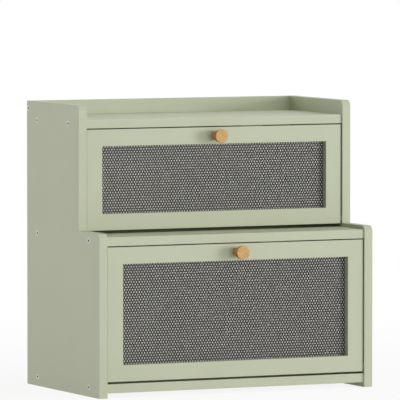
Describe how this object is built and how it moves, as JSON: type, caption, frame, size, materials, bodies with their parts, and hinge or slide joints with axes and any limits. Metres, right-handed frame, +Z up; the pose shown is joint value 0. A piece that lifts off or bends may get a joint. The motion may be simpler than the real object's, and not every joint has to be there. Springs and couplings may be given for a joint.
{
  "type": "two-tier bread box",
  "caption": "Stepped countertop bread box: two compartments, each closed by a drop-down door with a patterned window and a wooden knob, under an open top shelf with a low rail.",
  "frame": {"origin": "on the floor, under the middle of the bounding box, which runs from the face of the lower knob to the rear edges", "axes": "+X right along the width, +Y back (the doors face -Y), +Z up"},
  "size_m": [0.4, 0.256, 0.3815],
  "materials": {
    "painted_board": "sage green satin paint on fibreboard",
    "back_board": "sage green painted hardboard",
    "patterned_acrylic": "clear, moulded with a honeycomb of small bumps",
    "knob_beech": "oiled beech",
    "dowel_beech": "bare beech",
    "screw_steel": "zinc plated",
    "zinc_steel": "zinc plated",
    "pin_steel": "bright drawn",
    "magnet_nickel": "nickel plated",
    "bush_nylon": "natural nylon",
    "catch_plastic": "moulded white",
    "clip_plastic": "moulded white"
  },
  "bodies": {
    "carcass": {"left_side_panel": "painted_board", "right_side_panel": "painted_board", "top_board": "painted_board", "middle_board": "painted_board", "bottom_board": "painted_board", "back_panel": "back_board", "back_rail": "painted_board", "left_side_screws": "screw_steel", "right_side_screws": "screw_steel", "left_dowels": "dowel_beech", "right_dowels": "dowel_beech", "rail_dowels": "dowel_beech", "lower_hinge_bushes": "bush_nylon", "lower_catch": "catch_plastic", "lower_catch_magnet": "magnet_nickel", "lower_catch_screws": "zinc_steel", "upper_hinge_bushes": "bush_nylon", "upper_catch": "catch_plastic", "upper_catch_magnet": "magnet_nickel", "upper_catch_screws": "zinc_steel"},
    "lower_door": {"lower_door_frame": "painted_board", "lower_window": "patterned_acrylic", "lower_window_clips": "clip_plastic", "lower_clip_screws": "zinc_steel", "lower_knob": "knob_beech", "lower_knob_washer": "zinc_steel", "lower_knob_screw": "zinc_steel", "lower_strike_plate": "zinc_steel", "lower_strike_screws": "zinc_steel", "lower_hinge_pins": "pin_steel"},
    "upper_door": {"upper_door_frame": "painted_board", "upper_window": "patterned_acrylic", "upper_window_clips": "clip_plastic", "upper_clip_screws": "zinc_steel", "upper_knob": "knob_beech", "upper_knob_washer": "zinc_steel", "upper_knob_screw": "zinc_steel", "upper_strike_plate": "zinc_steel", "upper_strike_screws": "zinc_steel", "upper_hinge_pins": "pin_steel"}
  },
  "joints": [
    {"name": "lower_door_hinge", "type": "hinge", "parent": "carcass", "child": "lower_door", "pos_m": [0, -0.10105, 0.02805], "axis": [1, 0, 0], "range_deg": [0, 90]},
    {"name": "upper_door_hinge", "type": "hinge", "parent": "carcass", "child": "upper_door", "pos_m": [0, -0.03475, 0.2225], "axis": [1, 0, 0], "range_deg": [0, 90]}
  ]
}
